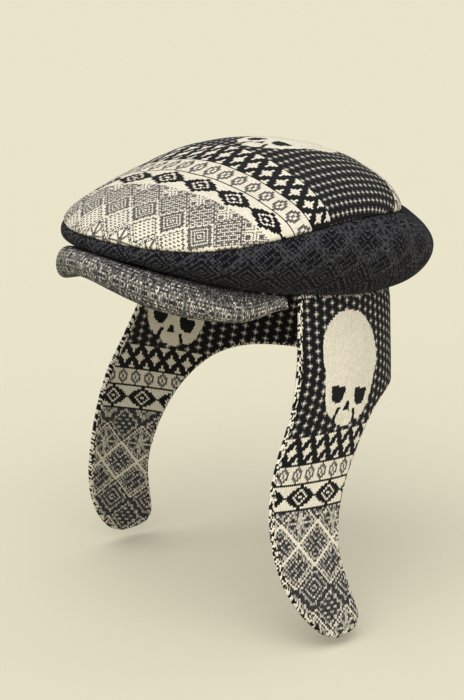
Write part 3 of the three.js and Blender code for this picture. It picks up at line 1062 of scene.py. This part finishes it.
def crown_top_panel():
    return Panel(
        name="crown_top_knit", node="crown_top", slot="cream_jacquard",
        wale=CROWN_WALE, course=CROWN_COURSE, columns=CROWN_COLUMNS, rows=CROWN_ROWS,
        place=top_place, surface=top_surface, outline=top_outline(), yarn=top_yarn,
        half_wall=even_wall(PANEL_WALL), sunk=PANEL_WALL / 2,
        edge_radius=2.2, inward=top_inward, uneven=0.8, fleck=0.35,
    )


# A side panel: rows follow the rim
SIDE_WALE = 1.35
SIDE_COURSE = 1.3
SIDE_ROWS = (-100, 2)
SIDE_CELL = 20
SIDE_HALF_LENGTH = 90 * SIDE_MM_PER_DEG
SIDE_MIDDLE = (0, 0, 25)


def side_place(across, down):
    return across + SIDE_HALF_LENGTH, -down


def side_yarn(column, row, across, down):
    return patchwork_yarn(column, row, SIDE_CELL, CHARCOAL, CHARCOAL, BLACK)


def side_inward(around, up, normal):
    angle = around / SIDE_MM_PER_DEG
    inward = turned_against(normal, side_surface(around, up) - SIDE_MIDDLE)
    return towards_seam(inward, seam_inward(angle), side_length(angle) - up)


def side_panel():
    reach = int(SIDE_HALF_LENGTH / SIDE_WALE) + SPARE_COLUMNS
    return Panel(
        name="side_panel_left_knit", node="side_panel_left", slot="charcoal_jacquard",
        wale=SIDE_WALE, course=SIDE_COURSE, columns=(-reach, reach), rows=SIDE_ROWS,
        place=side_place, surface=side_surface, outline=side_outline(), yarn=side_yarn,
        half_wall=even_wall(PANEL_WALL), sunk=PANEL_WALL / 2,
        edge_radius=2.2, inward=side_inward, uneven=1.4, fleck=0.3,
    )


# The padded peak: rows follow its edge
PEAK_WALE = 1.35
PEAK_COURSE = 1.25
PEAK_ROWS = (-50, 2)
PEAK_HALF_LENGTH = PEAK_END_DEG * PEAK_MM_PER_DEG
PEAK_SEAM_RADIUS = 3

# Fine specks in rows, in an order that looks like chance: light at the edge and dark towards the rim,
# where the darkening is painted shade under the crown's overhang
PEAK_LIGHT_INTO_PAINTED_SHADE = {"inward": (0, 5, 10, 16), "share": (0.55, 0.42, 0.22, 0.08)}
PEAK_ROW_CONTRAST = 0.2
PEAK_GREY_FROM = 0.7
CHANCE_COLUMN_STEP = 12.9898
CHANCE_ROW_STEP = 78.233
CHANCE_SPREAD = 43758.5453


def peak_yarn(column, row, across, down):
    half_column = np.floor(2 * across / PEAK_WALE)
    turn = CHANCE_COLUMN_STEP * half_column + CHANCE_ROW_STEP * row
    chance = np.sin(turn) * CHANCE_SPREAD % 1
    # Fewer light specks towards the rim: painted shade under the crown's overhang
    share = np.interp(-down, PEAK_LIGHT_INTO_PAINTED_SHADE["inward"], PEAK_LIGHT_INTO_PAINTED_SHADE["share"])
    share = share + np.where(row % 2 == 0, PEAK_ROW_CONTRAST, -PEAK_ROW_CONTRAST)
    light = np.where(chance < share / 2, FLECKED, ASH)
    return np.where(chance < share, light, np.where(chance > PEAK_GREY_FROM, GREY, SLATE))


def peak_half_wall(around, inward):
    angle, share = peak_place(around, inward)
    to_rim = peak_length(angle) - inward
    to_end = PEAK_HALF_LENGTH - np.abs(around)
    seam = rounded(np.minimum(to_rim, to_end), PEAK_SEAM_RADIUS)
    _, _, half = peak_section(angle, share)
    return half * seam


# The padding is measured straight up and down
def peak_inward(around, inward, normal):
    return np.zeros(normal.shape) - (0, 0, 1)


def peak_panel():
    reach = int(PEAK_HALF_LENGTH / PEAK_WALE) + SPARE_COLUMNS
    return Panel(
        name="peak_knit", node="peak", slot="grey_jacquard",
        wale=PEAK_WALE, course=PEAK_COURSE, columns=(-reach, reach), rows=PEAK_ROWS,
        place=lambda across, down: (across.copy(), -down),
        surface=peak_surface, outline=peak_outline(), yarn=peak_yarn,
        half_wall=peak_half_wall, sunk=0,
        edge_radius=0.4, inward=peak_inward, uneven=0.35, fleck=0.5,
    )


# An ear flap: rows run round the head, and stitches keep their width where the flap stands out
FLAP_COURSE = 1.4
FLAP_COLUMNS = (-36, 140)
FLAP_ROWS = (-16, 170)
FLAP_BANDS_FROM = 85
FLAP_SKULL_TOP = 12
FLAP_SKULL_CHIN = 82.5
FLAP_SKULL_TILT = 0.2
FLAP_SKULL_HALF_WIDTH = 27
FLAP_SKULL_CENTRE = 27.5
FLAP_CELL = 20
FLAP_DARK_ROW = 54


# How the cloth lies on a flap: stitch width, lift and tilt of its rows, and run of its columns by drop
@dataclass
class FlapCloth:
    wale: float
    lift: float
    tilt: float
    drop: tuple
    forward: tuple


LEFT_CLOTH = FlapCloth(
    wale=1.31, lift=0, tilt=0.1,
    drop=(0, 45, 60, 70, 78, 84, 101, 114, 130, 212),
    forward=(0, 0.5, 4.5, 8.5, 12, 14.5, 22.5, 25.2, 27.7, 34),
)
RIGHT_CLOTH = FlapCloth(wale=1.55, lift=17, tilt=-0.12, drop=(0, 212), forward=(17.5, 5))

# Ranges of the table of flap widths, a little past the flap on all sides
FLAP_ALONGS = (-60, 170)
FLAP_WIDTHS = (-60, 190)
FLAP_WIDTH_STEP = 1.0
FLAP_LAST_DROP = 219
FLAP_DROP_STEP = 3


# Length along the rim for each real width on the flap, by drop
def flap_width_table():
    alongs = np.arange(*FLAP_ALONGS, FLAP_WIDTH_STEP)
    widths = np.arange(*FLAP_WIDTHS, FLAP_WIDTH_STEP)
    rows = []
    for drop in np.arange(0, FLAP_LAST_DROP + FLAP_DROP_STEP, FLAP_DROP_STEP):
        points = flap_middle(alongs, np.full(alongs.shape, float(drop)))
        steps = np.linalg.norm(np.diff(points, axis=0), axis=-1)
        lengths = np.concatenate([[0], np.cumsum(steps)])
        lengths = lengths - np.interp(0, alongs, lengths)
        rows.append(np.interp(widths, lengths, alongs))
    return EvenTable((0, FLAP_WIDTHS[0]), (FLAP_DROP_STEP, FLAP_WIDTH_STEP), np.array(rows))


flap_alongs = flap_width_table()


def flap_place(cloth):
    def place(across, down):
        drop = down - cloth.tilt * across
        width = across - np.interp(drop, cloth.drop, cloth.forward)
        return flap_alongs.at(np.clip(drop, 0, FLAP_LAST_DROP), width), drop

    return place


def flap_yarn(cloth):
    first_row = round((FLAP_BANDS_FROM - cloth.lift) / FLAP_COURSE)

    def yarn_at(column, row, across, down):
        is_dense = row - first_row < FLAP_DARK_ROW
        patchwork = patchwork_yarn(column, row, FLAP_CELL, CREAM, FLECKED, SLATE, is_dense)
        bands = band_yarn(column, row - first_row, patchwork)
        yarn = np.where(row >= first_row, bands, cross_yarn(column, row))
        from_centre = across - FLAP_SKULL_CENTRE
        level = down + cloth.lift - FLAP_SKULL_TILT * from_centre
        skull_down = (level - FLAP_SKULL_TOP) / (FLAP_SKULL_CHIN - FLAP_SKULL_TOP)
        return with_skull(yarn, from_centre / FLAP_SKULL_HALF_WIDTH, skull_down)

    return yarn_at


def flap_inward(along, drop, normal):
    level = flap_middle(along, drop) * (1, 1, 0)
    return turned_against(normal, level)


def ear_flap_panel(cloth):
    return Panel(
        name="ear_flap_left_knit", node="ear_flap_left", slot="black_jacquard",
        wale=cloth.wale, course=FLAP_COURSE, columns=FLAP_COLUMNS, rows=FLAP_ROWS,
        place=flap_place(cloth), surface=flap_middle, outline=flap_outline(), yarn=flap_yarn(cloth),
        half_wall=even_wall(FLAP_WALL), sunk=0,
        edge_radius=2.6, inward=flap_inward, uneven=0.6, fleck=0.4, edge_specks=2.2,
    )


# Make the pieces
crown_top = knit(crown_top_panel())
side_left = knit(side_panel())
side_right = knit(side_panel(), is_mirrored=True)
peak = knit(peak_panel())
flap_left = knit(ear_flap_panel(LEFT_CLOTH))
flap_right = knit(ear_flap_panel(RIGHT_CLOTH), is_mirrored=True)

patterned_wool = wool_knit("patterned_wool", 0.05)
dark_wool = wool_knit("dark_wool", 0.02)
for piece in (crown_top, peak, flap_left, flap_right):
    piece.data.materials.append(patterned_wool)
for piece in (side_left, side_right):
    piece.data.materials.append(dark_wool)

# Floor just under the flap tips
FLOOR_UP = -0.217
FLOOR_SIZE = 12
FLOOR_COLOUR = (0.70, 0.665, 0.51, 1)
FLOOR_ROUGHNESS = 0.85
bpy.ops.mesh.primitive_grid_add(
    x_subdivisions=2, y_subdivisions=2, size=FLOOR_SIZE, location=(0, 0, FLOOR_UP)
)
floor = bpy.context.object
floor.name = "pale_floor"
bpy.ops.object.transform_apply(location=True, rotation=True, scale=True)
floor_paint = bpy.data.materials.new("pale_floor")
floor_paint.use_nodes = True
floor_shader = floor_paint.node_tree.nodes["Principled BSDF"]
floor_shader.inputs["Base Color"].default_value = FLOOR_COLOUR
floor_shader.inputs["Roughness"].default_value = FLOOR_ROUGHNESS
floor.data.materials.append(floor_paint)


# Soft studio light from large lamps far off
def soft_lamp(name, place, spread_deg, strength, colour):
    bpy.ops.object.light_add(type="SUN", location=place)
    lamp = bpy.context.object
    lamp.name = name
    lamp.data.angle = np.radians(spread_deg)
    lamp.data.energy = strength
    lamp.data.color = colour
    lamp.rotation_euler = (-Vector(place)).to_track_quat("-Z", "Y").to_euler()


soft_lamp("window_lamp", place=(0.5, -1.0, 1.6), spread_deg=70, strength=1.5, colour=(1.0, 0.99, 0.97))
soft_lamp("side_lamp", place=(1.9, -0.6, 0.8), spread_deg=80, strength=1.0, colour=(1.0, 0.985, 0.96))

# Even light of a pale room
ROOM_COLOUR = (1.0, 0.995, 0.98, 1)
ROOM_STRENGTH = 0.65
world = bpy.data.worlds.new("pale_room")
world.use_nodes = True
background = world.node_tree.nodes["Background"]
background.inputs["Color"].default_value = ROOM_COLOUR
background.inputs["Strength"].default_value = ROOM_STRENGTH
bpy.context.scene.world = world
bpy.context.scene.view_settings.view_transform = "Standard"

# Camera at the photograph's angle, from a frame of 464 by 700 pixels
FRAME_HEIGHT_PX = 700
VIEW_AZIMUTH_DEG = 56
VIEW_ELEVATION_DEG = 16
VIEW_ROLL_DEG = 2
VIEW_DISTANCE = 1.6
FOCAL_PX = 2432
ORIGIN_RIGHT = 0.00724
ORIGIN_UP = 0.0515
SENSOR_MM = 36
FAR_CLIP = 100


def photo_camera():
    azimuth, elevation, roll = np.radians((VIEW_AZIMUTH_DEG, VIEW_ELEVATION_DEG, VIEW_ROLL_DEG))
    right = np.array((np.cos(azimuth), np.sin(azimuth), 0))
    level_back = np.array((np.sin(azimuth), -np.cos(azimuth), 0))
    back = level_back * np.cos(elevation) + np.array((0, 0, np.sin(elevation)))
    up = np.cross(back, right)
    rolled_right = right * np.cos(roll) - up * np.sin(roll)
    rolled_up = right * np.sin(roll) + up * np.cos(roll)
    place = back * VIEW_DISTANCE - rolled_right * ORIGIN_RIGHT - rolled_up * ORIGIN_UP
    bpy.ops.object.camera_add(location=place)
    camera = bpy.context.object
    camera.name = "photo_camera"
    axes = Matrix(np.stack([rolled_right, rolled_up, back], axis=1).tolist())
    camera.rotation_euler = axes.to_euler()
    camera.data.sensor_fit = "VERTICAL"
    camera.data.sensor_height = SENSOR_MM
    camera.data.lens = SENSOR_MM * FOCAL_PX / FRAME_HEIGHT_PX
    camera.data.clip_end = FAR_CLIP
    bpy.context.scene.camera = camera


photo_camera()
